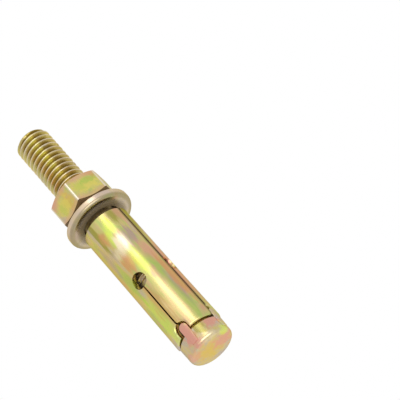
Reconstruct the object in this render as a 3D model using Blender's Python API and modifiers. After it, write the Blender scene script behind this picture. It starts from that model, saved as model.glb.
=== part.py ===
# Sleeve anchor, 1/2 in sleeve on a 3/8-16 threaded bolt with a cone head.
# The bolt stands on its head: +Z runs along its axis to the threaded tip, and the origin is
# the centre of the head's end face. Lengths are in metres.
import math

import bmesh
import bpy
from mathutils import Matrix

INCH = 0.0254

# Bolt
BOLT_LENGTH = 3.125 * INCH
THREAD_DIAMETER = 0.375 * INCH
THREAD_PITCH = INCH / 16
THREAD_INTO_SLEEVE = 0.0210
TIP_CHAMFER = 0.00085
SHANK_END_CHAMFER = 0.0005
CONE_LENGTH = 0.0090
HEAD_HEIGHT = 0.0046
HEAD_EDGE_RADIUS = 0.0009
HEAD_SHOULDER_RADIUS = 0.00025
RIB_END_HEIGHT = 0.0013
RIB_FOOT_WIDTH = 0.0017
RIB_TURN = math.radians(5)

# Sleeve, rolled from strip with one open seam
SLEEVE_WALL = 0.00135
SLEEVE_LENGTH = 0.0393
LEAF_SPREAD = 0.0001
LEAF_COUNT = 4
SLIT_WIDTH = 0.0004
SLIT_HOLE_DIAMETER = 0.0043
SLIT_HOLE_HEIGHT = 0.0185
NOTCH_WIDTH = 0.0039
NOTCH_DEPTH = 0.0031
SEAM_WIDTH = 0.0003
SEAM_OFFSET = 0.0009

# Washer
WASHER_DIAMETER = 0.01845
WASHER_THICKNESS = 0.0021
WASHER_EDGE_RADIUS = 0.0004

# Nut
NUT_ACROSS_FLATS = 0.5625 * INCH
NUT_HEIGHT = 0.0084
NUT_FACE_HEIGHT = 0.0006
NUT_FACE_SHARE = 0.95
NUT_CHAMFER_ANGLE = math.radians(30)
NUT_CORNER_ANGLE = math.radians(-70.4)

# Clearances
SLEEVE_BORE_GAP = 0.0002375
WASHER_BORE_GAP = 0.0004
HEAD_INSET = 0.0003
MOUTH_GAP = 0.0005
CONE_GAP = 0.0003
RIB_SIDE_GAP = 0.0007
RIB_TOP_GAP = 0.0008
RIB_FACE_INSET = 0.0001
WASHER_FREE_PLAY = 0.0021
SEAT_GAP = 0.0009
THREAD_GAP = 0.00012
CUTTER_MARGIN = 0.001

# Inch thread form: 60 degree flanks, with crest, depths and blank as shares of the pitch
FLANK_SLOPE = math.tan(math.radians(30))
CREST_WIDTH = THREAD_PITCH / 8
THREAD_DEPTH = 0.6134 * THREAD_PITCH
NUT_THREAD_DEPTH = 0.45 * THREAD_PITCH
SHANK_RADIUS = THREAD_DIAMETER / 2 - 0.325 * THREAD_PITCH

# Radii that follow the thread
SLEEVE_BORE_RADIUS = THREAD_DIAMETER / 2 + SLEEVE_BORE_GAP
SLEEVE_RADIUS = SLEEVE_BORE_RADIUS + SLEEVE_WALL
HEAD_RADIUS = SLEEVE_RADIUS - HEAD_INSET

# Heights along the bolt
SLEEVE_BOTTOM = HEAD_HEIGHT + MOUTH_GAP
SLEEVE_TOP = SLEEVE_BOTTOM + SLEEVE_LENGTH
WASHER_BOTTOM = SLEEVE_TOP + WASHER_FREE_PLAY
NUT_BOTTOM = WASHER_BOTTOM + WASHER_THICKNESS + SEAT_GAP
THREAD_START = SLEEVE_TOP - THREAD_INTO_SLEEVE

# Facets round each turned shape
THREAD_STEPS = 28
ROUND_STEPS = 64

# Colours of yellow zinc plating, linear RGB
PLATED_BOLT = (0.50, 0.42, 0.16)
PLATED_SLEEVE = (0.62, 0.56, 0.20)
PLATED_WASHER = (0.52, 0.42, 0.22)
PLATED_NUT = (0.58, 0.50, 0.17)


def clear_scene():
    for obj in list(bpy.data.objects):
        bpy.data.objects.remove(obj, do_unlink=True)


def new_collection(name):
    collection = bpy.data.collections.new(name)
    bpy.context.scene.collection.children.link(collection)
    return collection


def plating(name, colour):
    material = bpy.data.materials.new(name)
    material.use_nodes = True
    shader = material.node_tree.nodes["Principled BSDF"]
    shader.inputs["Base Color"].default_value = (*colour, 1.0)
    shader.inputs["Metallic"].default_value = 1.0
    shader.inputs["Roughness"].default_value = 0.3
    return material


def link_mesh(name, mesh, collection):
    obj = bpy.data.objects.new(name, mesh)
    collection.objects.link(obj)
    return obj


def arc(centre_r, centre_z, radius, start, end, count):
    """Points of an arc in the profile plane, angles in degrees from +r."""
    points = []
    for step in range(count + 1):
        angle = math.radians(start + (end - start) * step / count)
        points.append((centre_r + radius * math.cos(angle), centre_z + radius * math.sin(angle)))
    return points


def profile_object(name, points, collection, closed):
    """A polyline in the XZ plane, to be turned or wound about Z."""
    mesh = bpy.data.meshes.new(name)
    count = len(points)
    edges = [(index, index + 1) for index in range(count - 1)]
    if closed:
        edges.append((count - 1, 0))
    mesh.from_pydata([(r, 0.0, z) for r, z in points], edges, [])
    return link_mesh(name, mesh, collection)


def add_screw(obj, steps):
    screw = obj.modifiers.new("Screw", "SCREW")
    screw.axis = "Z"
    screw.angle = math.tau
    screw.steps = steps
    screw.render_steps = steps
    screw.use_merge_vertices = True
    screw.merge_threshold = 0.000001
    return screw


def turned(name, points, collection, steps, closed=False):
    obj = profile_object(name, points, collection, closed)
    add_screw(obj, steps)
    return obj


def turned_cutter(name, points, collection, closed=False):
    """A turned shape whose facets lie half a step from those of the piece that it meets."""
    obj = turned(name, points, collection, THREAD_STEPS, closed)
    obj.rotation_euler.z = math.pi / THREAD_STEPS
    return obj


def as_mesh(obj, collection, fill_ends=True):
    """The same object with its modifiers applied, welded and, if asked, filled at open ends."""
    name = obj.name
    graph = bpy.context.evaluated_depsgraph_get()
    mesh = bpy.data.meshes.new_from_object(obj.evaluated_get(graph))
    place = obj.matrix_world.copy()
    bpy.data.objects.remove(obj, do_unlink=True)
    solid = bmesh.new()
    solid.from_mesh(mesh)
    bmesh.ops.remove_doubles(solid, verts=solid.verts, dist=0.000001)
    rims = [edge for edge in solid.edges if edge.is_boundary]
    if rims and fill_ends:
        bmesh.ops.holes_fill(solid, edges=rims, sides=0)
    bmesh.ops.recalc_face_normals(solid, faces=solid.faces)
    solid.to_mesh(mesh)
    solid.free()
    result = link_mesh(name, mesh, collection)
    result.matrix_world = place
    return result


def flat_prism(name, outline, depth, collection):
    """A flat outline (across, height) made a plate of the given depth along X from 0."""
    curve = bpy.data.curves.new(name, "CURVE")
    curve.dimensions = "2D"
    curve.fill_mode = "BOTH"
    curve.extrude = depth / 2
    spline = curve.splines.new("POLY")
    spline.points.add(len(outline) - 1)
    for point, (across, height) in zip(spline.points, outline):
        point.co = (across, height, 0.0, 1.0)
    spline.use_cyclic_u = True
    obj = bpy.data.objects.new(name, curve)
    collection.objects.link(obj)
    upright = Matrix(((0, 0, 1, depth / 2), (1, 0, 0, 0), (0, 1, 0, 0), (0, 0, 0, 1)))
    obj.matrix_world = upright
    bpy.context.view_layer.update()
    return as_mesh(obj, collection)


def ring_of(name, source, first_place, collection):
    """Copies of source at the leaf spacing round Z from first_place on, joined in one mesh."""
    shape = bmesh.new()
    for index in range(first_place, LEAF_COUNT):
        first = len(shape.verts)
        shape.from_mesh(source.data)
        shape.verts.ensure_lookup_table()
        turn = Matrix.Rotation(math.tau * index / LEAF_COUNT, 4, "Z") @ source.matrix_world
        bmesh.ops.transform(shape, matrix=turn, verts=shape.verts[first:])
    mesh = bpy.data.meshes.new(name)
    shape.to_mesh(mesh)
    shape.free()
    bpy.data.objects.remove(source, do_unlink=True)
    return link_mesh(name, mesh, collection)


def combine(obj, other, operation):
    boolean = obj.modifiers.new(other.name, "BOOLEAN")
    boolean.operation = operation
    boolean.solver = "EXACT"
    boolean.object = other
    other.hide_render = True
    other.display_type = "WIRE"


def finish(obj, material):
    obj.data.materials.append(material)
    obj.data.shade_smooth()
    obj.data.set_sharp_from_angle(angle=math.radians(35))


def ridge_half_width(radius):
    """Half the width of the bolt's thread ridge at a radius."""
    return CREST_WIDTH / 2 + (THREAD_DIAMETER / 2 - radius) * FLANK_SLOPE


def threaded_rod(name, crest, root, widening, low, high, collection):
    """A rod with a right-hand thread that covers the heights low to high, pointed at both ends.

    The ridge is the bolt's, made wider on each side by widening. Every rod has its ridges at
    the same heights, so the nut's thread lies in mesh with the bolt's.
    """
    half_crest = ridge_half_width(crest) + widening
    half_root = ridge_half_width(root) + widening
    points = [
        (root, half_root),
        (crest, half_crest),
        (crest, -half_crest),
        (root, -half_root),
        (root, half_root - THREAD_PITCH),
    ]
    below = math.floor(low / THREAD_PITCH) - 1
    above = math.ceil(high / THREAD_PITCH) + 1
    wound = profile_object(name, points, collection, False)
    wound.location.z = below * THREAD_PITCH
    screw = add_screw(wound, THREAD_STEPS)
    screw.screw_offset = THREAD_PITCH
    screw.iterations = above - below
    bpy.context.view_layer.update()
    rod = as_mesh(wound, collection, fill_ends=False)
    close_on_axis(rod.data)
    return rod


def close_on_axis(mesh):
    """Close both open ends of a wound surface by drawing their rims to a point on the axis."""
    solid = bmesh.new()
    solid.from_mesh(mesh)
    middle = sum(vert.co.z for vert in solid.verts) / len(solid.verts)
    rims = [edge for edge in solid.edges if edge.is_boundary]
    lower = [edge for edge in rims if edge.verts[0].co.z < middle]
    upper = [edge for edge in rims if edge.verts[0].co.z >= middle]
    for rim in (lower, upper):
        drawn = bmesh.ops.extrude_edge_only(solid, edges=rim)["geom"]
        tips = [item for item in drawn if isinstance(item, bmesh.types.BMVert)]
        height = sum(vert.co.z for vert in tips) / len(tips)
        bmesh.ops.pointmerge(solid, verts=tips, merge_co=(0.0, 0.0, height))
    bmesh.ops.recalc_face_normals(solid, faces=solid.faces)
    solid.to_mesh(mesh)
    solid.free()


def make_thread(cutters):
    """The bolt's thread, chamfered at the tip and run out into the shank below."""
    crest = THREAD_DIAMETER / 2
    beyond = crest + CUTTER_MARGIN
    core = SHANK_RADIUS - CUTTER_MARGIN
    thread = threaded_rod(
        "bolt_thread", crest, crest - THREAD_DEPTH, 0.0, THREAD_START, BOLT_LENGTH, cutters
    )
    trim = [
        (0.0, BOLT_LENGTH),
        (crest - TIP_CHAMFER, BOLT_LENGTH),
        (beyond, BOLT_LENGTH - TIP_CHAMFER - CUTTER_MARGIN),
        (beyond, THREAD_START + beyond - crest),
        (core, THREAD_START - (crest - core)),
        (0.0, THREAD_START - (crest - core)),
    ]
    combine(thread, turned_cutter("thread_trim", trim, cutters), "INTERSECT")
    return thread


def slot_outline():
    """Notch at the mouth, slit and end hole of one slot, from the mouth at height 0."""
    half_notch = NOTCH_WIDTH / 2
    half_slit = SLIT_WIDTH / 2
    hole = SLIT_HOLE_DIAMETER / 2
    shoulder = NOTCH_DEPTH - half_notch
    notch_turn = math.degrees(math.acos(half_slit / half_notch))
    hole_turn = math.degrees(math.asin(half_slit / hole))
    right = [(half_notch, -CUTTER_MARGIN)]
    right += arc(0.0, shoulder, half_notch, 0.0, notch_turn, 10)
    around = arc(0.0, SLIT_HOLE_HEIGHT, hole, hole_turn - 90.0, 270.0 - hole_turn, 32)
    left = [(-across, height) for across, height in reversed(right)]
    return right + around + left


def seam_outline():
    """The open seam, with the notch and hole that are stamped in only one end of the strip."""
    half_notch = NOTCH_WIDTH / 2
    hole = SLIT_HOLE_DIAMETER / 2
    straight_end = -SEAM_OFFSET - SEAM_WIDTH / 2
    stamped_end = -SEAM_OFFSET + SEAM_WIDTH / 2
    notch_turn = math.degrees(math.acos(stamped_end / half_notch))
    hole_turn = math.degrees(math.acos(stamped_end / hole))
    top = SLEEVE_LENGTH + CUTTER_MARGIN
    outline = [(straight_end, top), (straight_end, -CUTTER_MARGIN), (half_notch, -CUTTER_MARGIN)]
    outline += arc(0.0, NOTCH_DEPTH - half_notch, half_notch, 0.0, notch_turn, 12)
    outline += arc(0.0, SLIT_HOLE_HEIGHT, hole, -hole_turn, hole_turn, 20)
    outline += [(stamped_end, top)]
    return outline


def rib_outline():
    """A rib's outline: a round top in the notch, straight sides and a foot that narrows."""
    half = NOTCH_WIDTH / 2 - RIB_SIDE_GAP
    foot = RIB_FOOT_WIDTH / 2
    top = SLEEVE_BOTTOM + NOTCH_DEPTH - RIB_TOP_GAP
    outline = [(foot, 0.0), (half, HEAD_HEIGHT)]
    outline += arc(0.0, top - half, half, 0.0, 180.0, 12)
    outline += [(-half, HEAD_HEIGHT), (-foot, 0.0)]
    return outline


def make_ribs(cutters):
    """Ribs on the head, one in each notch of the sleeve, which keep it from turning."""
    face = SLEEVE_RADIUS - RIB_FACE_INSET
    inside = HEAD_RADIUS - HEAD_EDGE_RADIUS / 2
    core = SHANK_RADIUS - CUTTER_MARGIN / 2
    top = SLEEVE_BOTTOM + NOTCH_DEPTH + CUTTER_MARGIN
    band = [
        (face, top),
        (face, RIB_END_HEIGHT + face - HEAD_RADIUS),
        (inside, RIB_END_HEIGHT + inside - HEAD_RADIUS),
        (core, RIB_END_HEIGHT + inside - HEAD_RADIUS),
        (core, top),
    ]
    ribs = turned_cutter("rib_band", band, cutters, closed=True)
    plate = flat_prism("rib_plate", rib_outline(), 2 * SLEEVE_RADIUS, cutters)
    turn = Matrix.Rotation(RIB_TURN, 4, "Z")
    plate.matrix_world = turn @ Matrix.Translation((core / 2, 0, 0)) @ plate.matrix_world
    combine(ribs, ring_of("rib_plates", plate, 0, cutters), "INTERSECT")
    return ribs


def make_bolt(parts, cutters):
    shank = SHANK_RADIUS
    shoulder = HEAD_SHOULDER_RADIUS
    edge = HEAD_EDGE_RADIUS
    profile = [(0.0, THREAD_START), (shank - SHANK_END_CHAMFER, THREAD_START)]
    profile += [(shank, THREAD_START - SHANK_END_CHAMFER), (shank, HEAD_HEIGHT + CONE_LENGTH)]
    profile += [(SLEEVE_BORE_RADIUS - CONE_GAP, HEAD_HEIGHT)]
    profile += arc(HEAD_RADIUS - shoulder, HEAD_HEIGHT - shoulder, shoulder, 90, 0, 2)
    profile += arc(HEAD_RADIUS - edge, edge, edge, 0, -90, 5)
    profile += [(0.0, 0.0)]
    bolt = turned("cone_bolt", profile, parts, THREAD_STEPS)
    combine(bolt, make_thread(cutters), "UNION")
    combine(bolt, make_ribs(cutters), "UNION")
    return bolt


def make_sleeve(parts, cutters):
    outer = SLEEVE_RADIUS
    inner = SLEEVE_BORE_RADIUS
    loop = [
        (outer, SLEEVE_LENGTH),
        (outer, SLIT_HOLE_HEIGHT),
        (outer + LEAF_SPREAD, 0.0),
        (inner + LEAF_SPREAD, 0.0),
        (inner, SLIT_HOLE_HEIGHT),
        (inner, SLEEVE_LENGTH),
    ]
    sleeve = turned("expansion_sleeve", loop, parts, ROUND_STEPS, closed=True)
    sleeve.location.z = SLEEVE_BOTTOM
    slot = flat_prism("slot", slot_outline(), 2 * SLEEVE_RADIUS, cutters)
    slot.matrix_world = Matrix.Translation((inner / 2, 0, SLEEVE_BOTTOM)) @ slot.matrix_world
    seam = flat_prism("seam", seam_outline(), 2 * SLEEVE_RADIUS, cutters)
    seam.matrix_world = Matrix.Translation((inner / 2, 0, SLEEVE_BOTTOM)) @ seam.matrix_world
    combine(sleeve, ring_of("slots", slot, 1, cutters), "DIFFERENCE")
    combine(sleeve, seam, "DIFFERENCE")
    return sleeve


def make_washer(parts):
    outer = WASHER_DIAMETER / 2
    bore = THREAD_DIAMETER / 2 + WASHER_BORE_GAP
    edge = WASHER_EDGE_RADIUS
    loop = arc(outer - edge, WASHER_THICKNESS - edge, edge, 90, 0, 3)
    loop += arc(outer - edge, edge, edge, 0, -90, 3)
    loop += [(bore, 0.0), (bore, WASHER_THICKNESS)]
    washer = turned("flat_washer", loop, parts, ROUND_STEPS, closed=True)
    washer.location.z = WASHER_BOTTOM
    return washer


def make_nut(parts, cutters):
    corner = NUT_ACROSS_FLATS / 2 / math.cos(math.pi / 6)
    face = NUT_FACE_SHARE * NUT_ACROSS_FLATS / 2
    beyond = corner + CUTTER_MARGIN
    drop = (beyond - face) * math.tan(NUT_CHAMFER_ANGLE)
    # A cone primitive has its first corner at +Y
    turn = Matrix.Rotation(NUT_CORNER_ANGLE - math.pi / 2, 4, "Z")
    lift = Matrix.Translation((0, 0, NUT_HEIGHT / 2))
    blank = bmesh.new()
    bmesh.ops.create_cone(
        blank,
        cap_ends=True,
        segments=6,
        radius1=corner,
        radius2=corner,
        depth=NUT_HEIGHT,
        matrix=lift @ turn,
    )
    mesh = bpy.data.meshes.new("hex_nut")
    blank.to_mesh(mesh)
    blank.free()
    nut = link_mesh("hex_nut", mesh, parts)
    nut.location.z = NUT_BOTTOM
    chamfer = [
        (0.0, NUT_HEIGHT + CUTTER_MARGIN),
        (face - CUTTER_MARGIN / math.tan(NUT_CHAMFER_ANGLE), NUT_HEIGHT + CUTTER_MARGIN),
        (beyond, NUT_HEIGHT - drop),
        (beyond, NUT_FACE_HEIGHT + drop),
        (face, NUT_FACE_HEIGHT),
        (face, -CUTTER_MARGIN),
        (0.0, -CUTTER_MARGIN),
    ]
    turned_form = turned("nut_chamfers", chamfer, cutters, ROUND_STEPS)
    turned_form.location.z = NUT_BOTTOM
    combine(nut, turned_form, "INTERSECT")
    cut_nut_thread(nut, cutters)
    return nut


def cut_nut_thread(nut, cutters):
    """The thread through the nut, countersunk at both faces."""
    outer = THREAD_DIAMETER / 2 + THREAD_GAP
    bore = THREAD_DIAMETER / 2 - NUT_THREAD_DEPTH
    low = NUT_BOTTOM - CUTTER_MARGIN
    high = NUT_BOTTOM + NUT_HEIGHT + CUTTER_MARGIN
    combine(nut, threaded_rod("nut_tap", outer, bore, THREAD_GAP, low, high, cutters), "DIFFERENCE")
    mouth = outer + CREST_WIDTH / 2
    depth = mouth + CUTTER_MARGIN
    for face, inward in ((NUT_BOTTOM, 1), (NUT_BOTTOM + NUT_HEIGHT, -1)):
        profile = [(0.0, face + inward * mouth), (depth, face - inward * CUTTER_MARGIN)]
        profile += [(0.0, face - inward * CUTTER_MARGIN)]
        if inward < 0:
            profile.reverse()
        sink = turned("countersink", profile, cutters, ROUND_STEPS)
        combine(nut, sink, "DIFFERENCE")


def main():
    clear_scene()
    parts = new_collection("sleeve_anchor")
    cutters = new_collection("cutters")
    finish(make_bolt(parts, cutters), plating("plated_bolt", PLATED_BOLT))
    finish(make_sleeve(parts, cutters), plating("plated_sleeve", PLATED_SLEEVE))
    finish(make_washer(parts), plating("plated_washer", PLATED_WASHER))
    finish(make_nut(parts, cutters), plating("plated_nut", PLATED_NUT))


main()
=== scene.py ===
import math

import bmesh
import bpy
from mathutils import Matrix, Vector


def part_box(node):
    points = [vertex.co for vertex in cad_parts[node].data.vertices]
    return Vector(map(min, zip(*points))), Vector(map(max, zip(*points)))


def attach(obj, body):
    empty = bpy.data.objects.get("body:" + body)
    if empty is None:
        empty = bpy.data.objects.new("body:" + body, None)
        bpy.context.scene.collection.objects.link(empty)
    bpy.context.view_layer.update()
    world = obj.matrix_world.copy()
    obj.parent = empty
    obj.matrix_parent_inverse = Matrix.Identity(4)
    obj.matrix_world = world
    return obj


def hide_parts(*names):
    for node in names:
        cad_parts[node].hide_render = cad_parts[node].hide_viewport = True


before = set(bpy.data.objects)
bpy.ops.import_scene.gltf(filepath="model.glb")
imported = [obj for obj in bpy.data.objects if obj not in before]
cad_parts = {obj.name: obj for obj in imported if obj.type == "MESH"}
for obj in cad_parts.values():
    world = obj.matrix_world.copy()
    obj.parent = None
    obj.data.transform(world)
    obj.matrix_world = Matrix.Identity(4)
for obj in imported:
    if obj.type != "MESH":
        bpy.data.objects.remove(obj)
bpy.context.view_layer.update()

# Sleeve anchor, plated in yellow zinc. The bolt stands on its head and +Z is its axis.
# Lengths are in metres, angles in degrees, and colours as a paint chart gives them.
_, bolt_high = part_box("cone_bolt")
sleeve_low, sleeve_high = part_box("expansion_sleeve")
washer_low, washer_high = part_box("flat_washer")
nut_low, nut_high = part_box("hex_nut")

TURN_STEPS = 128
ARCH_STEPS = 40
WELD = 2e-6
TINY = 1e-6
PLANE_SNAP = 1e-7
ON_FACE = 1e-5
SHARP = 50.0
CUTTER_SPARE = 0.001

TIP_HEIGHT = bolt_high.z
PITCH = 0.0015875
CREST_RADIUS = 0.0047625
ROOT_RADIUS = CREST_RADIUS - 0.6134 * PITCH
SHANK_RADIUS = CREST_RADIUS - 0.325 * PITCH
FLANK_SLOPE = math.tan(math.radians(30))
THREAD_SOFT = 0.00007
ROOT_CORNER = [(0.0, 1.2), (0.3, 0.35), (1.2, -0.7)]
CREST_CORNER = [(1.2, 0.7), (0.3, 0.1), (0.0, -0.5)]
THREAD_START = sleeve_high.z - 0.021
THREAD_RUN_OUT = 0.0024
TIP_CHAMFER = 0.00085

HEAD_RADIUS = 0.00605
HEAD_HEIGHT = 0.0046
HEAD_EDGE = 0.0009
HEAD_UPPER_EDGE = 0.00025
END_FACE_RADIUS = 0.0048
CONE_TOP = HEAD_HEIGHT + 0.0090
CONE_FOOT_RADIUS = 0.0047
CONE_BEND_ABOVE = 0.0002
CONE_BEND_BELOW = 0.0006
CONE_BEND_OUT = 0.00003

RIB_HALF_WIDTH = 0.00125
RIB_FACE_RADIUS = 0.00625
RIB_DEPTH = 0.0022
RIB_FOOT = 0.0013
RIB_NARROWING = 0.32
RIB_TOP = 0.0074
RIB_TURN = 5.0
RIB_SOFT_EDGE = 0.0002
RIB_BEND_STEPS = 12

SLEEVE_RADIUS = 0.00635
SLEEVE_WALL = 0.00135
SLEEVE_MOUTH = sleeve_low.z
SLEEVE_LENGTH = sleeve_high.z - sleeve_low.z
SEAM_WIDTH = 0.0003
SEAM_OFFSET = 0.0009
LEAF_SPREAD = 0.0001
LEAF_CUTS = (0.3, 0.6, 0.9)
HOLE_RADIUS = 0.00215
HOLE_HEIGHT = 0.0185
SLIT_WIDTH = 0.0004
NOTCH_RADIUS = 0.00195
NOTCH_DEPTH = 0.0031
SHEAR_EDGE = 0.00010
MOUTH_EDGE = 0.0006
MOUTH_EDGE_TOP = SLEEVE_MOUTH + NOTCH_DEPTH + 0.0002

WASHER_RADIUS = washer_high.x
WASHER_UPPER_EDGE = 0.0003
WASHER_LOWER_EDGE = 0.0009
WASHER_BORE = CREST_RADIUS + 0.0004
BORE_LOWER_EDGE = 0.0002
BORE_UPPER_EDGE = 0.0001

NUT_FLAT_RADIUS = 0.5625 * 0.0254 / 2
NUT_CORNER_RADIUS = NUT_FLAT_RADIUS / math.cos(math.pi / 6)
NUT_CORNER = -70.4
NUT_FACE_RADIUS = 0.95 * NUT_FLAT_RADIUS
NUT_CHAMFER_SLOPE = math.tan(math.radians(30))
NUT_HEIGHT = nut_high.z - nut_low.z
NUT_STEP = 0.0006
NUT_SOFT_CORNER = 0.00025
NUT_TURNED_EDGE = 0.00014
NUT_TURNED_SHARP = 12.0
NUT_SLIVER = 0.0001
NUT_CREASE = 30.0
NUT_THREAD_GAP = 0.00012
NUT_BORE_RADIUS = CREST_RADIUS - 0.45 * PITCH
COUNTERSINK_RADIUS = CREST_RADIUS + 0.00025


def as_piece(name, shape):
    """A mesh object at the origin from a finished bmesh."""
    mesh = bpy.data.meshes.new(name)
    shape.to_mesh(mesh)
    shape.free()
    piece = bpy.data.objects.new(name, mesh)
    bpy.context.scene.collection.objects.link(piece)
    return piece


def closed(shape):
    """Weld what meets and turn the faces outwards."""
    bmesh.ops.remove_doubles(shape, verts=shape.verts, dist=WELD)
    bmesh.ops.recalc_face_normals(shape, faces=shape.faces)
    return shape


def arc(centre_r, centre_z, radius, start, end, steps):
    """Points (radius, height) along an arc, from one angle to another."""
    points = []
    for step in range(steps + 1):
        angle = math.radians(start + (end - start) * step / steps)
        points.append((centre_r + radius * math.cos(angle), centre_z + radius * math.sin(angle)))
    return points


def turn_outline(shape, outline, rise=0.0, loop=False):
    """Turn a line of (radius, height) points once about Z, climbing by rise."""
    verts = [shape.verts.new((r, 0.0, z)) for r, z in outline]
    pairs = list(zip(verts, verts[1:]))
    if loop:
        pairs.append((verts[-1], verts[0]))
    edges = [shape.edges.new(pair) for pair in pairs]
    bmesh.ops.spin(
        shape,
        geom=verts + edges,
        cent=(0, 0, 0),
        axis=(0, 0, 1),
        dvec=(0, 0, rise / TURN_STEPS),
        angle=math.tau,
        steps=TURN_STEPS,
        use_merge=rise == 0.0,
        use_duplicate=False,
    )


def cut(piece, cutter, operation="DIFFERENCE"):
    """Cut, join or trim a piece with another, which is used up."""
    boolean = piece.modifiers.new("cut", "BOOLEAN")
    boolean.operation = operation
    boolean.solver = "EXACT"
    boolean.object = cutter
    graph = bpy.context.evaluated_depsgraph_get()
    mesh = bpy.data.meshes.new_from_object(piece.evaluated_get(graph))
    piece.modifiers.clear()
    piece.data = mesh
    bpy.data.objects.remove(cutter, do_unlink=True)


def rework(piece):
    """The piece's mesh, opened for more work and welded."""
    shape = bmesh.new()
    shape.from_mesh(piece.data)
    return closed(shape)


def put_back(shape, piece):
    """Give the reworked mesh back to its piece."""
    shape.to_mesh(piece.data)
    shape.free()


def middle_of(edge):
    return (edge.verts[0].co + edge.verts[1].co) / 2


def break_edges(shape, width, least, segments=2, where=lambda edge: True, clamp=True):
    """Round every edge at which the faces turn by more than least degrees."""
    edges = []
    for edge in shape.edges:
        if len(edge.link_faces) == 2 and edge.calc_face_angle() > math.radians(least):
            if where(edge):
                edges.append(edge)
    bmesh.ops.bevel(
        shape,
        geom=edges,
        offset=width,
        offset_type="OFFSET",
        segments=segments,
        profile=0.5,
        affect="EDGES",
        clamp_overlap=clamp,
        material=-1,
    )


def smooth(piece, crease=40.0):
    """Shade a piece smooth, but for edges sharper than the crease."""
    piece.data.shade_smooth()
    piece.data.set_sharp_from_angle(angle=math.radians(crease))
    weigh = piece.modifiers.new("even normals", "WEIGHTED_NORMAL")
    weigh.keep_sharp = True
    weigh.weight = 100


def thread_form(crest, root, widen):
    """One pitch of a rolled thread from its root up, as (radius, height).

    Its corners are softened: each point there lies (across, along) shares of THREAD_SOFT away.
    """
    soft = THREAD_SOFT
    half_crest = PITCH / 16 + widen
    half_root = half_crest + (crest - root) * FLANK_SLOPE
    flank = [(root + soft * across, half_root + soft * along) for across, along in ROOT_CORNER]
    flank.append(((root + crest) / 2, (half_root + half_crest) / 2))
    flank += [(crest - soft * across, half_crest + soft * along) for across, along in CREST_CORNER]
    return [(radius, -height) for radius, height in flank] + flank[::-1]


def wind_thread(shape, crest, root, widen, low, high):
    """A right-hand thread whose ridges stand at whole pitches above the head at +X."""
    first = math.floor(low / PITCH) - 2
    last = math.ceil(high / PITCH) + 1
    outline = []
    for number in range(first, last + 1):
        outline += [(r, number * PITCH + z) for r, z in thread_form(crest, root, widen)]
    turn_outline(shape, outline, rise=PITCH)


def ease(value):
    """0 to 1, slow at both ends."""
    value = min(max(value, 0.0), 1.0)
    return value * value * (3.0 - 2.0 * value)


def turn_step(vert):
    """Which of the steps round the axis a vertex stands on."""
    return round(math.atan2(vert.co.y, vert.co.x) / math.tau * TURN_STEPS) % TURN_STEPS


def end_thread(shape):
    """Fade a wound thread into the shank at its foot, and chamfer and flatten it at the tip."""
    last = {}
    for vert in shape.verts:
        step = turn_step(vert)
        if vert.co.z <= TIP_HEIGHT and (step not in last or vert.co.z > last[step][0]):
            last[step] = (vert.co.z, vert.co.xy.length)
    for vert in shape.verts:
        step = turn_step(vert)
        radius = last[step][1] if vert.co.z > TIP_HEIGHT else vert.co.xy.length
        height = min(max(vert.co.z, THREAD_START), TIP_HEIGHT)
        grown = ease((height - THREAD_START) / THREAD_RUN_OUT)
        radius = SHANK_RADIUS + (radius - SHANK_RADIUS) * grown
        radius = min(radius, CREST_RADIUS - TIP_CHAMFER + TIP_HEIGHT - height)
        turn = math.tau * step / TURN_STEPS
        vert.co = (radius * math.cos(turn), radius * math.sin(turn), height)


def make_bolt():
    """Head, cone and shank turned in one line, with the rolled thread welded on top."""
    shape = bmesh.new()
    wind_thread(shape, CREST_RADIUS, ROOT_RADIUS, 0.0, THREAD_START, TIP_HEIGHT)
    end_thread(shape)
    body = [
        (SHANK_RADIUS, THREAD_START),
        (SHANK_RADIUS, CONE_TOP + CONE_BEND_ABOVE),
        (SHANK_RADIUS + CONE_BEND_OUT, CONE_TOP - CONE_BEND_BELOW),
        (CONE_FOOT_RADIUS, HEAD_HEIGHT),
    ]
    edge = HEAD_UPPER_EDGE
    body += arc(HEAD_RADIUS - edge, HEAD_HEIGHT - edge, edge, 90, 0, steps=5)
    edge = HEAD_EDGE
    body += arc(HEAD_RADIUS - edge, edge, edge, 0, -90, steps=12)
    body += [(END_FACE_RADIUS, 0.0), (0.0, 0.0)]
    turn_outline(shape, body)
    bmesh.ops.remove_doubles(shape, verts=shape.verts, dist=WELD)
    rim = [edge for edge in shape.edges if edge.is_boundary]
    bmesh.ops.edgeloop_fill(shape, edges=rim)
    bolt = as_piece("bolt_with_head", closed(shape))
    cut(bolt, make_ribs(), "UNION")
    smooth(bolt)
    return bolt


def roll_round(shape, radius, start):
    """Roll a flat shape, x along the strip and y into it, about Z from an angle."""
    for vert in shape.verts:
        turn = start + vert.co.x / radius
        reach = radius - vert.co.y
        vert.co = (reach * math.cos(turn), reach * math.sin(turn), vert.co.z)


def plane_cut(shape, point, normal):
    """Cut a shape across at a plane, without parting it."""
    bmesh.ops.bisect_plane(
        shape,
        geom=shape.verts[:] + shape.edges[:] + shape.faces[:],
        dist=PLANE_SNAP,
        plane_co=point,
        plane_no=normal,
    )


def slice_strip(shape, reach, steps):
    """Cut a flat shape across at even steps, so that it can be rolled."""
    for step in range(1, steps):
        plane_cut(shape, (-reach + 2.0 * reach * step / steps, 0, 0), (1, 0, 0))


def level_cut(shape, height):
    plane_cut(shape, (0, 0, height), (0, 0, 1))


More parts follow.
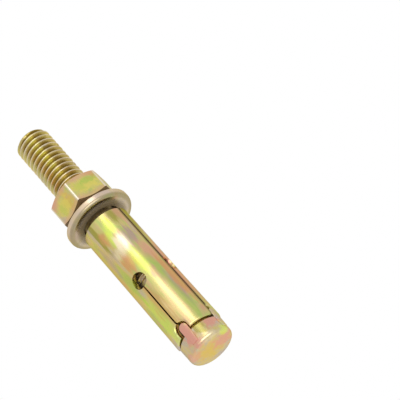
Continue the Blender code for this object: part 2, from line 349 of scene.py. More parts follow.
def arch_block(shape, radius, centre, foot, near, far, at=0.0):
    """A block with an arched top: half round above, straight sides down to foot."""
    made = bmesh.ops.create_circle(
        shape,
        cap_ends=True,
        radius=radius,
        segments=ARCH_STEPS,
        matrix=Matrix.Translation((at, near, centre)) @ Matrix.Rotation(math.pi / 2, 4, "X"),
    )["verts"]
    for vert in made:
        if vert.co.z < centre - TINY:
            side = vert.co.x - at
            vert.co.x = at + math.copysign(radius, side) if abs(side) > TINY else at
            vert.co.z = foot
    faces = list({face for vert in made for face in vert.link_faces})
    grown = bmesh.ops.extrude_face_region(shape, geom=faces)["geom"]
    moved = [item for item in grown if isinstance(item, bmesh.types.BMVert)]
    bmesh.ops.translate(shape, verts=moved, vec=(0, far - near, 0))


def at_face(edge):
    """True for an edge on the outer face of what is about to be rolled round."""
    return middle_of(edge).y < ON_FACE


def make_ribs():
    """Four forged ribs that fill the sleeve's notches and narrow towards the end face."""
    ribs = bmesh.new()
    for quarter in range(4):
        rib = bmesh.new()
        arch_block(rib, RIB_HALF_WIDTH, RIB_TOP - RIB_HALF_WIDTH, RIB_FOOT, 0.0, RIB_DEPTH)
        closed(rib)
        bmesh.ops.dissolve_limit(rib, angle_limit=0.001, verts=rib.verts, edges=rib.edges)
        level_cut(rib, HEAD_HEIGHT)
        for vert in rib.verts:
            below = max(1.0 - vert.co.z / HEAD_HEIGHT, 0.0)
            vert.co.x *= 1.0 - RIB_NARROWING * below
        break_edges(rib, RIB_SOFT_EDGE, SHARP, segments=3, where=at_face)
        slice_strip(rib, RIB_HALF_WIDTH, RIB_BEND_STEPS)
        roll_round(rib, RIB_FACE_RADIUS, math.radians(90 * quarter + RIB_TURN))
        made = bpy.data.meshes.new("rib")
        closed(rib)
        rib.to_mesh(made)
        rib.free()
        ribs.from_mesh(made)
    return as_piece("ribs", ribs)


def at_mouth(edge):
    """True for an outer edge of the leaf ends and notches."""
    return at_face(edge) and middle_of(edge).z < MOUTH_EDGE_TOP


def make_sleeve():
    """Flat strip with its slits, notches and holes, rolled round to an open seam.

    The notch and hole beside the seam lie in one end of the strip and have no slit.
    """
    reach = math.pi * SLEEVE_RADIUS
    quarters = [reach * (number / 2 - 1) + SEAM_OFFSET for number in range(4)]
    strip = bmesh.new()
    bmesh.ops.create_cube(strip, size=1.0)
    width = 2 * reach - SEAM_WIDTH
    bmesh.ops.scale(strip, verts=strip.verts, vec=(width, SLEEVE_WALL, SLEEVE_LENGTH))
    middle = (0, SLEEVE_WALL / 2, SLEEVE_MOUTH + SLEEVE_LENGTH / 2)
    bmesh.ops.translate(strip, verts=strip.verts, vec=middle)
    sleeve = as_piece("split_sleeve", strip)

    near = -CUTTER_SPARE
    far = SLEEVE_WALL + CUTTER_SPARE
    slits = bmesh.new()
    for place in quarters[1:]:
        made = bmesh.ops.create_cube(slits, size=1.0)["verts"]
        height = HOLE_HEIGHT + CUTTER_SPARE
        bmesh.ops.scale(slits, verts=made, vec=(SLIT_WIDTH, far - near, height))
        centre = (place, (near + far) / 2, SLEEVE_MOUTH - CUTTER_SPARE + height / 2)
        bmesh.ops.translate(slits, verts=made, vec=centre)
    cut(sleeve, as_piece("slits", slits))
    notches = bmesh.new()
    for place in quarters:
        arch = SLEEVE_MOUTH + NOTCH_DEPTH - NOTCH_RADIUS
        foot = SLEEVE_MOUTH - CUTTER_SPARE
        arch_block(notches, NOTCH_RADIUS, arch, foot, near, far, place)
    cut(sleeve, as_piece("notches", closed(notches)))
    holes = bmesh.new()
    for place in quarters:
        matrix = Matrix.Translation((place, (near + far) / 2, SLEEVE_MOUTH + HOLE_HEIGHT))
        bmesh.ops.create_cone(
            holes,
            cap_ends=True,
            segments=ARCH_STEPS,
            radius1=HOLE_RADIUS,
            radius2=HOLE_RADIUS,
            depth=far - near,
            matrix=matrix @ Matrix.Rotation(math.pi / 2, 4, "X"),
        )
    cut(sleeve, as_piece("holes", holes))

    shape = rework(sleeve)
    break_edges(shape, MOUTH_EDGE, SHARP, segments=5, where=at_mouth, clamp=False)
    break_edges(shape, SHEAR_EDGE, SHARP)
    slice_strip(shape, reach, TURN_STEPS)
    for share in LEAF_CUTS:
        level_cut(shape, SLEEVE_MOUTH + HOLE_HEIGHT * share)
    for vert in shape.verts:
        fallen = 1.0 - (vert.co.z - SLEEVE_MOUTH) / HOLE_HEIGHT
        vert.co.y -= LEAF_SPREAD * max(fallen, 0.0)
    roll_round(shape, SLEEVE_RADIUS, math.pi - SEAM_OFFSET / SLEEVE_RADIUS)
    put_back(closed(shape), sleeve)
    smooth(sleeve)
    return sleeve


def make_washer():
    """Punched washer: rolled over on the lower edge, sheared on the upper."""
    low, high = washer_low.z, washer_high.z
    outline = []
    edge = WASHER_UPPER_EDGE
    outline += arc(WASHER_RADIUS - edge, high - edge, edge, 90, 0, steps=6)
    edge = WASHER_LOWER_EDGE
    outline += arc(WASHER_RADIUS - edge, low + edge, edge, 0, -90, steps=14)
    edge = BORE_LOWER_EDGE
    outline += arc(WASHER_BORE + edge, low + edge, edge, 270, 180, steps=4)
    edge = BORE_UPPER_EDGE
    outline += arc(WASHER_BORE + edge, high - edge, edge, 180, 90, steps=3)
    shape = bmesh.new()
    turn_outline(shape, outline, loop=True)
    washer = as_piece("round_washer", closed(shape))
    smooth(washer)
    return washer


def upright(edge):
    """True for an edge that runs from the nut's lower face to its upper."""
    return abs(edge.verts[0].co.z - edge.verts[1].co.z) > NUT_HEIGHT / 2


def long_enough(edge):
    """False for the slivers that the turned form leaves."""
    return edge.calc_length() > NUT_SLIVER


def make_nut():
    """Hexagon nut, corners turned off at both faces, with its thread and countersinks."""
    low, high = nut_low.z, nut_high.z
    stand = Matrix.Translation((0, 0, (low + high) / 2))
    blank = bmesh.new()
    bmesh.ops.create_cone(
        blank,
        cap_ends=True,
        segments=6,
        radius1=NUT_CORNER_RADIUS,
        radius2=NUT_CORNER_RADIUS,
        depth=NUT_HEIGHT,
        matrix=stand @ Matrix.Rotation(math.radians(NUT_CORNER - 90), 4, "Z"),
    )
    break_edges(blank, NUT_SOFT_CORNER, SHARP, segments=4, where=upright)
    nut = as_piece("threaded_nut", blank)

    wide = NUT_CORNER_RADIUS + CUTTER_SPARE
    fall = (wide - NUT_FACE_RADIUS) * NUT_CHAMFER_SLOPE
    above = high + CUTTER_SPARE
    below = low - CUTTER_SPARE
    form = bmesh.new()
    outline = [
        (0.0, above),
        (NUT_FACE_RADIUS - CUTTER_SPARE / NUT_CHAMFER_SLOPE, above),
        (wide, high - fall),
        (wide, low + NUT_STEP + fall),
        (NUT_FACE_RADIUS, low + NUT_STEP),
        (NUT_FACE_RADIUS, below),
        (0.0, below),
    ]
    turn_outline(form, outline)
    cut(nut, as_piece("turned_form", closed(form)), "INTERSECT")

    shape = rework(nut)
    break_edges(shape, NUT_TURNED_EDGE, NUT_TURNED_SHARP, segments=3, where=long_enough)
    put_back(shape, nut)
    cut_nut_thread(nut)
    smooth(nut, NUT_CREASE)
    return nut


def cut_nut_thread(nut):
    """Tap the nut with the bolt's own thread, set off by the gap, and countersink both ends."""
    low, high = nut_low.z, nut_high.z
    below, above = low - CUTTER_SPARE, high + CUTTER_SPARE
    crest = CREST_RADIUS + NUT_THREAD_GAP
    tap = bmesh.new()
    wind_thread(tap, crest, NUT_BORE_RADIUS, NUT_THREAD_GAP, below, above)
    bmesh.ops.remove_doubles(tap, verts=tap.verts, dist=WELD)
    rims = [edge for edge in tap.edges if edge.is_boundary]
    middle = (low + high) / 2
    lower = [edge for edge in rims if middle_of(edge).z < middle]
    upper = [edge for edge in rims if middle_of(edge).z > middle]
    for ends in (lower, upper):
        drawn = bmesh.ops.extrude_edge_only(tap, edges=ends)["geom"]
        tips = [item for item in drawn if isinstance(item, bmesh.types.BMVert)]
        height = sum(vert.co.z for vert in tips) / len(tips)
        bmesh.ops.pointmerge(tap, verts=tips, merge_co=(0, 0, height))
    cut(nut, as_piece("tap", closed(tap)))
    mouth = COUNTERSINK_RADIUS
    for face, inward in ((low, 1), (high, -1)):
        outside = face - inward * CUTTER_SPARE
        outline = [
            (0.0, face + inward * mouth),
            (mouth + CUTTER_SPARE, outside),
            (0.0, outside),
        ]
        sink = bmesh.new()
        turn_outline(sink, outline)
        cut(nut, as_piece("countersink", closed(sink)))


def paint(red, green, blue):
    """A colour read off a paint chart, 0 to 255, as the shader wants it."""
    linear = []
    for value in (red, green, blue):
        share = value / 255
        linear.append(share / 12.92 if share <= 0.04045 else ((share + 0.055) / 1.055) ** 2.4)
    return (*linear, 1.0)


class Signal:
    """A socket among nodes. Arithmetic on it adds Math nodes."""

    def __init__(self, nodes, socket):
        self.nodes = nodes
        self.socket = socket

    def combined(self, operation, first, second):
        return self.nodes.node("Math", {"operation": operation}, {0: first, 1: second})

    def __add__(self, other):
        return self.combined("ADD", self, other)

    __radd__ = __add__

    def __sub__(self, other):
        return self.combined("SUBTRACT", self, other)

    def __rsub__(self, other):
        return self.combined("SUBTRACT", other, self)

    def __mul__(self, other):
        return self.combined("MULTIPLY", self, other)

    __rmul__ = __mul__


class Nodes:
    """A node tree that is built node by node."""

    def __init__(self, tree):
        self.tree = tree

    def node(self, kind, settings=None, values=None, output=0):
        """Add a node, set it, then set or link its sockets by name or number."""
        made = self.tree.nodes.new("ShaderNode" + kind)
        for name, value in (settings or {}).items():
            if name == "stops":
                self.set_stops(made.color_ramp, value)
            else:
                setattr(made, name, value)
        for name, value in (values or {}).items():
            if isinstance(value, Signal):
                self.tree.links.new(value.socket, made.inputs[name])
            else:
                made.inputs[name].default_value = value
        return Signal(self, made.outputs[output])

    @staticmethod
    def set_stops(ramp, stops):
        while len(ramp.elements) < len(stops):
            ramp.elements.new(0.5)
        for element, (place, colour) in zip(ramp.elements, stops):
            element.position = place
            element.color = colour

    def step(self, value, low, high):
        """0 at low, 1 at high and smooth between. High may lie below low."""
        values = {"Value": value, "From Min": low, "From Max": high}
        return self.node("MapRange", {"interpolation_type": "SMOOTHSTEP"}, values)


class Finish(Nodes):
    """A material for a piece, in the piece's own space."""

    def __init__(self, name):
        self.material = bpy.data.materials.new(name)
        self.material.use_nodes = True
        super().__init__(self.material.node_tree)
        self.shader = self.tree.nodes["Principled BSDF"]
        self.out = self.tree.nodes["Material Output"]

    def feed(self, name, signal):
        self.tree.links.new(signal.socket, self.shader.inputs[name])

    def place(self):
        return self.node("TexCoord", output="Object")

    def grain(self, scale, along=1.0, detail=2.0, rough=0.5, shift=(0, 0, 0)):
        """Soft noise from 0 to 1, drawn out along Z where along is below 1."""
        values = {"Vector": self.place(), "Location": shift, "Scale": (1, 1, along)}
        settled = self.node("Mapping", {}, values)
        values = {"Vector": settled, "Scale": scale, "Detail": detail, "Roughness": rough}
        return self.node("TexNoise", {}, values)

    def blend(self, share, first, second):
        values = {"Factor": share, 6: first, 7: second}
        return self.node("Mix", {"data_type": "RGBA"}, values, output=2)

    def along_axis(self, axis):
        """Position along X, Y or Z."""
        return self.node("SeparateXYZ", {}, {0: self.place()}, output=axis)

    def from_axis(self):
        """Distance from the bolt's axis."""
        across, along = self.along_axis("X"), self.along_axis("Y")
        square = across * across + along * along
        return self.node("Math", {"operation": "SQRT"}, {0: square})

    def facing_up(self):
        """1 on faces that look along +Z, -1 on those that look down."""
        normal = self.node("TexCoord", output="Normal")
        return self.node("SeparateXYZ", {}, {0: normal}, output="Z")

    def reach_from(self, azimuth, height, radius, across, along):
        """0 at a spot on a round piece, and 1 at the given reach across and along it."""
        angle = math.radians(azimuth)
        spot = (-radius * math.cos(angle), -radius * math.sin(angle), -height)
        moved = self.node("VectorMath", {"operation": "ADD"}, {0: self.place(), 1: spot})
        scale = (1 / across, 1 / across, 1 / along)
        scaled = self.node("VectorMath", {"operation": "MULTIPLY"}, {0: moved, 1: scale})
        return self.node("VectorMath", {"operation": "LENGTH"}, {0: scaled}, output="Value")


# Colours that yellow chromate takes as the film grows
FILM = [
    (0.00, paint(196, 184, 176)),
    (0.16, paint(214, 196, 158)),
    (0.30, paint(220, 200, 136)),
    (0.44, paint(212, 208, 128)),
    (0.56, paint(192, 204, 122)),
    (0.68, paint(210, 198, 134)),
    (0.80, paint(218, 180, 140)),
    (0.90, paint(212, 170, 150)),
    (1.00, paint(190, 168, 156)),
]
SHEEN = paint(214, 204, 170)

# Tints that the film takes in single places
GREEN = paint(170, 206, 96)
LIME = paint(222, 240, 104)
YELLOW = paint(236, 220, 112)
OLIVE = paint(170, 164, 74)
SAGE = paint(176, 180, 132)
STRAW = paint(248, 220, 158)
GOLD = paint(232, 194, 96)
SALMON = paint(226, 166, 112)
PINK = paint(232, 168, 148)
CREAM = paint(248, 232, 196)
MAUVE = paint(190, 162, 156)
BRONZE = paint(156, 126, 84)

# Tints of rubbed and tinted metal, painted highlights on the crests, washer rim and nut corners,
# and painted shade in the thread's roots, inside the sleeve, beside the seam and under the washer
# and nut
THREAD_FLANK = paint(196, 178, 92)
THREAD_ROOT_SHADE = paint(132, 108, 46)
THREAD_CREST_WEAR_AND_HIGHLIGHT = paint(238, 222, 190)
INSIDE_SHADE_BROWN = paint(122, 92, 56)
DEEP_SHADE_BROWN = paint(96, 78, 50)
SEAM_SHADE_BROWN = paint(112, 82, 58)
WASHER_UNDERSIDE = paint(200, 182, 152)
WASHER_RIM_HIGHLIGHT = paint(238, 212, 188)
WASHER_OLIVE = paint(154, 142, 98)
WASHER_SHADE_BROWN = paint(134, 116, 82)
NUT_CORNER_WEAR_AND_HIGHLIGHT = paint(250, 238, 220)
NUT_SHADE_BROWN = paint(104, 80, 52)

# Noise in the film, at the spots' edges, on the worn crests and in the surface
DRAWN = {"scale": 430.0, "detail": 3.0}
CLOUD = {"scale": 190.0, "along": 0.6, "shift": (0.03, 0.01, 0.0)}
RAGGED = {"scale": 900.0, "detail": 3.0, "rough": 0.6, "shift": (0.0, 0.05, 0.02)}
WORN = {"scale": 380.0, "along": 0.5, "detail": 1.0}
FINE = {"scale": 2600.0, "along": 0.25, "detail": 3.0, "rough": 0.6}
SWELL = {"scale": 220.0, "along": 0.3, "detail": 1.0, "rough": 0.4, "shift": (0.0, 0.02, 0.0)}

SPOT_RAGGEDNESS = 2.4
SHADE_DULLING = 0.7
ROUGHNESS = 0.20
ROUGHNESS_BY_CLOUD = 0.10
ROUGHNESS_BY_FINE = 0.08
SWELL_HEIGHT = 6.0
BUMP = {"Strength": 0.25, "Distance": 0.00001}

# Edges of soft zones: from where a zone starts to where it is full
SPOT_EDGE = (1.25, 0.45)
THREADED_HEIGHT = (THREAD_START + 0.0005, THREAD_START + 0.002)
BEYOND_NUT_HEIGHT = (nut_low.z, nut_high.z)
# Heights of the painted shade on the bolt inside the sleeve and under the washer and nut
INSIDE_SHADE_HEIGHT = (CONE_TOP, CONE_TOP + 0.004)
DEEP_SHADE_HEIGHT = (sleeve_high.z - 0.012, sleeve_high.z - 0.008)
FLANK_ZONE = (0.0048, 0.0044)
ROOT_ZONE = (0.0043, 0.0038)
CREST_ZONE = (0.0046, 0.00475)
WORN_ZONE = (0.35, 0.60)
# Painted shade beside the seam: its width, and the side of the strip it lies on
SEAM_SHADE_ZONE = (0.0009, 0.0002)
SEAM_SHADE_SIDE = (0.0, 0.001)
WASHER_DOWNWARD = (-0.5, -0.9)
WASHER_SHADE_INNER = (0.0080, 0.0062)
WASHER_OUTER = (0.0076, 0.0084)
WASHER_RIM_HIGHLIGHT_ZONE = (WASHER_RADIUS - 0.0003, WASHER_RADIUS - 0.00005)
WASHER_LOWER_HEIGHT = (washer_low.z + 0.0010, washer_low.z + 0.0005)
NUT_CORNER_ZONE = (0.00800, 0.00816)
NUT_UPPER_HEIGHT = (nut_high.z - 0.0022, nut_high.z - 0.0008)
NUT_LOWER_HEIGHT = (nut_low.z + 0.0026, nut_low.z + 0.0014)
NUT_DOWNWARD = (-0.25, -0.6)


def plated(name, film_lean, film_swing, drawn_out, spots, tints_and_painted_light):
    """Yellow zinc: a thin film whose thickness, and so its colour, wanders over the steel."""
    finish = Finish(name)
    drawn = finish.grain(along=drawn_out, **DRAWN)
    cloud = finish.grain(**CLOUD)
    film = (drawn - 0.5) * film_swing + (cloud - 0.5) * film_swing + film_lean
    colour = finish.node("ValToRGB", {"stops": FILM}, {"Fac": film})
    ragged = finish.grain(along=drawn_out, **RAGGED)
    for azimuth, height, radius, across, along, tint, strength in spots:
        reach = finish.reach_from(azimuth, height, radius, across, along)
        share = finish.step(reach + (ragged - 0.5) * SPOT_RAGGEDNESS, *SPOT_EDGE)
        colour = finish.blend(share * strength, colour, tint)
    colour, painted_shade = tints_and_painted_light(finish, colour)
    finish.feed("Base Color", colour)
    # Where shade is painted, the metal is also dulled towards a brown non-metal.
    finish.feed("Metallic", 1.0 - painted_shade * SHADE_DULLING)
    fine = finish.grain(**FINE)
    rough = ROUGHNESS + ROUGHNESS_BY_CLOUD * cloud + ROUGHNESS_BY_FINE * fine
    finish.feed("Roughness", rough)
    height = finish.grain(**SWELL) * SWELL_HEIGHT + fine
    finish.feed("Normal", finish.node("Bump", {}, {**BUMP, "Height": height}))
    finish.shader.inputs["Specular Tint"].default_value = SHEEN
    return finish


def bolt_tints_and_painted_light(finish, colour):
    """The rolled thread: darker olive roots as painted shade, painted shade in brown inside the
    sleeve and under the washer and nut, and pale crests beyond the nut, partly rubbed and partly a
    painted highlight.
    """
    height, radius = finish.along_axis("Z"), finish.from_axis()
    beyond_nut = finish.step(height, *BEYOND_NUT_HEIGHT)
    flank = finish.step(radius, *FLANK_ZONE) * beyond_nut
    root = finish.step(radius, *ROOT_ZONE) * finish.step(height, *THREADED_HEIGHT)
    worn = finish.step(finish.grain(**WORN), *WORN_ZONE)
    crest = finish.step(radius, *CREST_ZONE) * beyond_nut * (0.5 + 0.4 * worn)
    inside = finish.step(height, *INSIDE_SHADE_HEIGHT) * (1.0 - beyond_nut)
    deep = finish.step(height, *DEEP_SHADE_HEIGHT) * (1.0 - beyond_nut)
    colour = finish.blend(flank * 0.6, colour, THREAD_FLANK)
    # Darker olive roots: painted shade in the thread's valleys.
    colour = finish.blend(root * 0.85, colour, THREAD_ROOT_SHADE)
    # Brown inside the sleeve, and darker brown higher up under the washer and nut: painted shade.
    colour = finish.blend(inside * 0.5, colour, INSIDE_SHADE_BROWN)
    colour = finish.blend(deep * 0.7, colour, DEEP_SHADE_BROWN)
    # Pale crests beyond the nut: partly rubbed metal, partly a painted highlight.
    colour = finish.blend(crest, colour, THREAD_CREST_WEAR_AND_HIGHLIGHT)
    return colour, inside * 0.25 + deep * 0.5


def sleeve_seam_shade(finish, colour):
    """Painted shade: brown beside the open seam."""
    from_seam = finish.along_axis("Y") + SEAM_OFFSET
    beside = finish.node("Math", {"operation": "ABSOLUTE"}, {0: from_seam})
    side = finish.step(finish.along_axis("X"), *SEAM_SHADE_SIDE)
    painted_shade = finish.step(beside, *SEAM_SHADE_ZONE) * side
    return finish.blend(painted_shade * 0.85, colour, SEAM_SHADE_BROWN), painted_shade * 0.4


def washer_tints_and_painted_light(finish, colour):
    """Painted shade under the washer towards the sleeve, an olive lower edge, and a pale rim that
    is a painted highlight.
    """
    height, radius = finish.along_axis("Z"), finish.from_axis()
    under = finish.step(finish.facing_up(), *WASHER_DOWNWARD)
    inner = finish.step(radius, *WASHER_SHADE_INNER)
    rounded = finish.step(height, *WASHER_LOWER_HEIGHT) * finish.step(radius, *WASHER_OUTER)
    rim = finish.step(radius, *WASHER_RIM_HIGHLIGHT_ZONE)
    colour = finish.blend(under * 0.5, colour, WASHER_UNDERSIDE)
    # Pale outer rim: a painted highlight.
    colour = finish.blend(rim * 0.6, colour, WASHER_RIM_HIGHLIGHT)
    colour = finish.blend(rounded * 0.6, colour, WASHER_OLIVE)
    # Darker brown towards the bore: painted shade.
    colour = finish.blend(inner * 0.8, colour, WASHER_SHADE_BROWN)
    return colour, inner * under


def nut_tints_and_painted_light(finish, colour):
    """Corners pale, partly rubbed and partly a painted highlight, faces pink towards their ends,
    and painted shade on the faces that look down towards the washer.
    """
    height, radius = finish.along_axis("Z"), finish.from_axis()
    corner = finish.step(radius, *NUT_CORNER_ZONE)
    upper = finish.step(height, *NUT_UPPER_HEIGHT)
    lower = finish.step(height, *NUT_LOWER_HEIGHT)
    under = finish.step(finish.facing_up(), *NUT_DOWNWARD)
    colour = finish.blend(upper * 0.5 + lower * 0.4, colour, PINK)
    # Pale corners: partly rubbed metal, partly a painted highlight.
    colour = finish.blend(corner * 0.8, colour, NUT_CORNER_WEAR_AND_HIGHLIGHT)
    # Brown on the faces that look down: painted shade.
    return finish.blend(under * 0.9, colour, NUT_SHADE_BROWN), under


# Spots of tint: azimuth, height, radius, reach across, reach along, tint, strength
BOLT_SPOTS = [
    (-64, 0.0700, CREST_RADIUS, 0.0016, 0.0120, LIME, 0.45),
    (-105, 0.0660, CREST_RADIUS, 0.0022, 0.0100, SALMON, 0.5),
    (-128, 0.0660, CREST_RADIUS, 0.0016, 0.0200, SAGE, 0.7),
    (-12, 0.0660, CREST_RADIUS, 0.0030, 0.0180, BRONZE, 0.8),
    (-30, 0.0790, 0.0036, 0.0034, 0.0012, BRONZE, 0.8),
    (-86, 0.0040, HEAD_RADIUS, 0.0020, 0.0060, PINK, 1.0),
    (-58, 0.0038, HEAD_RADIUS, 0.0020, 0.0020, OLIVE, 0.8),
    # Cream on the head's rounded edge: a painted highlight.
    (-52, 0.0004, 0.0058, 0.0026, 0.0008, CREAM, 0.4),
    (-26, 0.0040, HEAD_RADIUS, 0.0022, 0.0024, PINK, 0.9),
    (-130, 0.0, 0.0012, 0.0038, 0.0020, GOLD, 0.6),
    (-130, 0.0, 0.0052, 0.0020, 0.0020, PINK, 0.6),
    (20, 0.0, 0.0034, 0.0030, 0.0020, PINK, 0.8),
    (-6, 0.0, 0.0057, 0.0016, 0.0020, LIME, 0.7),
]
SLEEVE_SPOTS = [
    (-128, 0.0300, SLEEVE_RADIUS, 0.0050, 0.0150, GOLD, 0.4),
    (-108, 0.0100, SLEEVE_RADIUS, 0.0022, 0.0110, LIME, 0.6),
    (-112, 0.0260, SLEEVE_RADIUS, 0.0014, 0.0070, GREEN, 0.6),
    (-120, 0.0330, SLEEVE_RADIUS, 0.0012, 0.0060, MAUVE, 0.5),
    (-98, 0.0400, SLEEVE_RADIUS, 0.0008, 0.0060, OLIVE, 0.9),
    (-86, 0.0385, SLEEVE_RADIUS, 0.0012, 0.0026, SALMON, 0.8),
    (-76, 0.0370, SLEEVE_RADIUS, 0.0010, 0.0030, LIME, 0.7),
    (-80, 0.0325, SLEEVE_RADIUS, 0.0018, 0.0020, CREAM, 0.6),
    (-80, 0.0285, SLEEVE_RADIUS, 0.0019, 0.0032, SALMON, 0.8),
    (-84, 0.0140, SLEEVE_RADIUS, 0.0022, 0.0085, SALMON, 0.6),
    (-61, 0.0345, SLEEVE_RADIUS, 0.0018, 0.0028, CREAM, 1.0),
    (-62, 0.0405, SLEEVE_RADIUS, 0.0016, 0.0030, LIME, 0.7),
    (-60, 0.0270, SLEEVE_RADIUS, 0.0018, 0.0045, LIME, 0.6),
    (-60, 0.0120, SLEEVE_RADIUS, 0.0022, 0.0100, STRAW, 0.9),
    (-36, 0.0425, SLEEVE_RADIUS, 0.0020, 0.0030, OLIVE, 0.8),
    (-24, 0.0425, SLEEVE_RADIUS, 0.0012, 0.0040, PINK, 0.6),
    (-32, 0.0350, SLEEVE_RADIUS, 0.0018, 0.0040, MAUVE, 0.8),
    (-28, 0.0290, SLEEVE_RADIUS, 0.0020, 0.0050, PINK, 0.7),
    (-38, 0.0245, SLEEVE_RADIUS, 0.0010, 0.0050, GREEN, 0.5),
    (-30, 0.0160, SLEEVE_RADIUS, 0.0008, 0.0060, MAUVE, 0.7),
    (-38, 0.0120, SLEEVE_RADIUS, 0.0010, 0.0070, GREEN, 0.5),
    (-20, 0.0180, SLEEVE_RADIUS, 0.0012, 0.0100, SALMON, 0.8),
    (4, 0.0420, SLEEVE_RADIUS, 0.0014, 0.0080, OLIVE, 0.9),
    (6, 0.0220, SLEEVE_RADIUS, 0.0018, 0.0140, PINK, 0.8),
]
WASHER_SPOTS = [
    (-12, washer_low.z, 0.0082, 0.0014, 0.0010, PINK, 1.0),
    (-25, washer_low.z, 0.0088, 0.0020, 0.0010, GREEN, 0.6),
    (0, 0.0475, WASHER_RADIUS, 0.0030, 0.0020, OLIVE, 0.6),
    (-145, 0.0475, WASHER_RADIUS, 0.0040, 0.0020, OLIVE, 0.6),
    (-130, washer_low.z, 0.0085, 0.0030, 0.0010, MAUVE, 0.9),
]
NUT_SPOTS = [
    (-38, nut_low.z + 0.0046, NUT_FLAT_RADIUS, 0.0044, 0.0028, YELLOW, 0.8),
    (-28, nut_low.z + 0.0058, NUT_FLAT_RADIUS, 0.0026, 0.0012, GREEN, 0.6),
    (-52, nut_low.z + 0.0050, NUT_FLAT_RADIUS, 0.0016, 0.0016, GREEN, 0.3),
    (-14, nut_low.z + 0.0075, NUT_FLAT_RADIUS, 0.0020, 0.0020, SALMON, 0.6),
    (-88, nut_low.z + 0.0040, NUT_FLAT_RADIUS, 0.0020, 0.0040, GOLD, 0.7),
    (-106, nut_low.z + 0.0044, NUT_FLAT_RADIUS, 0.0028, 0.0034, YELLOW, 0.8),
    (-112, nut_low.z + 0.0040, NUT_FLAT_RADIUS, 0.0012, 0.0020, GREEN, 0.3),
    (-124, nut_low.z + 0.0075, NUT_FLAT_RADIUS, 0.0018, 0.0024, PINK, 0.6),
]

# Finish of each piece: material, film's lean, film's swing, stretch along Z, spots, tints and
# painted light
PLANS = {
    "bolt_with_head": ("yellow_zinc_bolt", 0.20, 0.9, 0.8, BOLT_SPOTS, bolt_tints_and_painted_light),
    "split_sleeve": ("yellow_zinc_sleeve", 0.44, 1.6, 0.12, SLEEVE_SPOTS, sleeve_seam_shade),
    "round_washer": ("yellow_zinc_washer", 0.06, 0.8, 0.8, WASHER_SPOTS, washer_tints_and_painted_light),
    "threaded_nut": ("yellow_zinc_nut", 0.42, 1.0, 0.8, NUT_SPOTS, nut_tints_and_painted_light),
}

FLOOR_SIZE = 3.0
FLOOR_DROP = 0.00005
FLOOR_GREY = (0.80, 0.80, 0.80, 1.0)
FLOOR_ROUGHNESS = 0.9
FLOOR_TO_WHITE = (0.12, 0.45)
FLOOR_PASSED = (0.1, 0.5)

# The studio that the metal reflects: brighter at the back than at the front
BACK_SIDE = (-0.37, 0.93, 0.0)
BACK_ZONE = (-0.2, 0.9)
STUDIO_DIM = 0.78
STUDIO_BRIGHT = 1.0

# Softboxes: azimuth, elevation, distance, width, height, radiance
SOFTBOXES = {
    "key_softbox": (-48, 32, 0.50, 0.18, 0.30, 1.4),
    "side_softbox": (-78, 32, 0.50, 0.20, 0.30, 0.25),
    "low_softbox": (-56, -32, 0.50, 0.44, 0.36, 1.5),
}

CAMERA_PLACE = (0.14557, -0.31738, -0.17352)
CAMERA_RIGHT = Vector((0.5568, 0.5865, -0.5883))
CAMERA_UP = Vector((0.7706, -0.1003, 0.6294))
CAMERA_LENS = 148.91
CAMERA_SENSOR = 36.0
CAMERA_CLIP = (0.01, 20.0)


def make_floor():
    """Pale floor, clear to reflections and shadows, and from below, where the camera stands."""
    shape = bmesh.new()
    bmesh.ops.create_grid(shape, x_segments=1, y_segments=1, size=FLOOR_SIZE)
    bmesh.ops.translate(shape, verts=shape.verts, vec=(0, 0, -FLOOR_DROP))
    floor = as_piece("floor", shape)
    finish = Finish("pale_floor")
    finish.shader.inputs["Base Color"].default_value = FLOOR_GREY
    finish.shader.inputs["Roughness"].default_value = FLOOR_ROUGHNESS
    finish.shader.inputs["Specular IOR Level"].default_value = 0.0
    near = Signal(finish, finish.shader.outputs[0])
    white = finish.node("Emission", {}, {"Color": (1, 1, 1, 1), "Strength": 1.0})
    values = {0: finish.place()}
    reach = finish.node("VectorMath", {"operation": "LENGTH"}, values, output="Value")
    far = finish.step(reach, *FLOOR_TO_WHITE)
    ground = finish.node("MixShader", {}, {0: far, 1: near, 2: white})
    clear = finish.node("BsdfTransparent")
    below = finish.node("NewGeometry", output="Backfacing")
    reflected = finish.node("LightPath", output="Is Glossy Ray")
    shadowed = finish.node("LightPath", output="Is Shadow Ray")
    passed = finish.step(below + reflected + shadowed, *FLOOR_PASSED)
    whole = finish.node("MixShader", {}, {0: passed, 1: ground, 2: clear})
    finish.tree.links.new(whole.socket, finish.out.inputs["Surface"])
    floor.data.materials.append(finish.material)


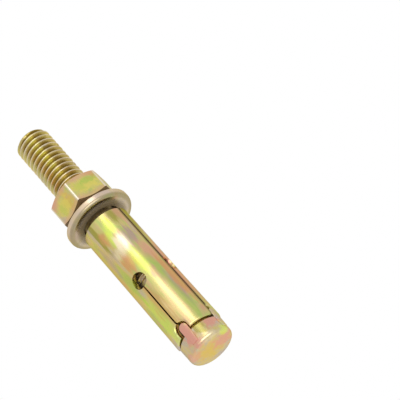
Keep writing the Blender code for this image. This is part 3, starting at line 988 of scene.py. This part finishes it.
def make_world():
    """White to the camera; in the metal, a pale studio that is brighter at the back."""
    world = bpy.data.worlds.new("studio")
    world.use_nodes = True
    bpy.context.scene.world = world
    studio = Nodes(world.node_tree)
    background = world.node_tree.nodes["Background"]
    toward = studio.node("TexCoord", output="Generated")
    values = {0: toward, 1: BACK_SIDE}
    side = studio.node("VectorMath", {"operation": "DOT_PRODUCT"}, values, output="Value")
    level = studio.step(side, *BACK_ZONE) * (STUDIO_BRIGHT - STUDIO_DIM) + STUDIO_DIM
    seen = studio.node("LightPath", output="Is Camera Ray")
    strength = seen + (1.0 - seen) * level
    background.inputs["Color"].default_value = (1, 1, 1, 1)
    studio.tree.links.new(strength.socket, background.inputs["Strength"])


def softbox(name, azimuth, elevation, distance, width, height, radiance):
    """A soft lamp that faces the middle of the anchor."""
    lamp = bpy.data.lights.new(name, "AREA")
    lamp.shape = "RECTANGLE"
    lamp.size = width
    lamp.size_y = height
    lamp.energy = radiance * math.pi * width * height
    turn, lift = math.radians(azimuth), math.radians(elevation)
    level = math.cos(lift)
    away = Vector((math.cos(turn) * level, math.sin(turn) * level, math.sin(lift)))
    holder = bpy.data.objects.new(name, lamp)
    holder.location = Vector((0, 0, TIP_HEIGHT / 2)) + away * distance
    holder.rotation_euler = away.to_track_quat("Z", "Y").to_euler()
    holder.visible_camera = False
    bpy.context.scene.collection.objects.link(holder)


def make_camera():
    """Placed as the photograph was taken: below the head, the tip going away to the upper left."""
    camera = bpy.data.cameras.new("photograph")
    camera.sensor_width = CAMERA_SENSOR
    camera.lens = CAMERA_LENS
    camera.clip_start, camera.clip_end = CAMERA_CLIP
    back = CAMERA_RIGHT.cross(CAMERA_UP)
    stand = Matrix((CAMERA_RIGHT, CAMERA_UP, back)).transposed().to_4x4()
    stand.translation = CAMERA_PLACE
    holder = bpy.data.objects.new("photograph", camera)
    holder.matrix_world = stand
    bpy.context.scene.collection.objects.link(holder)
    bpy.context.scene.camera = holder


MAKERS = [
    (make_bolt, "bolt", "cone_bolt", "plated_bolt"),
    (make_sleeve, "sleeve", "expansion_sleeve", "plated_sleeve"),
    (make_washer, "washer", "flat_washer", "plated_washer"),
    (make_nut, "nut", "hex_nut", "plated_nut"),
]
for make, body, node, slot in MAKERS:
    piece = make()
    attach(piece, body)
    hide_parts(node)
    piece.data.materials.clear()
    piece.data.materials.append(plated(*PLANS[piece.name]).material)
make_floor()
make_world()
for name, place_and_size in SOFTBOXES.items():
    softbox(name, *place_and_size)
make_camera()
bpy.context.scene.view_settings.view_transform = "Standard"
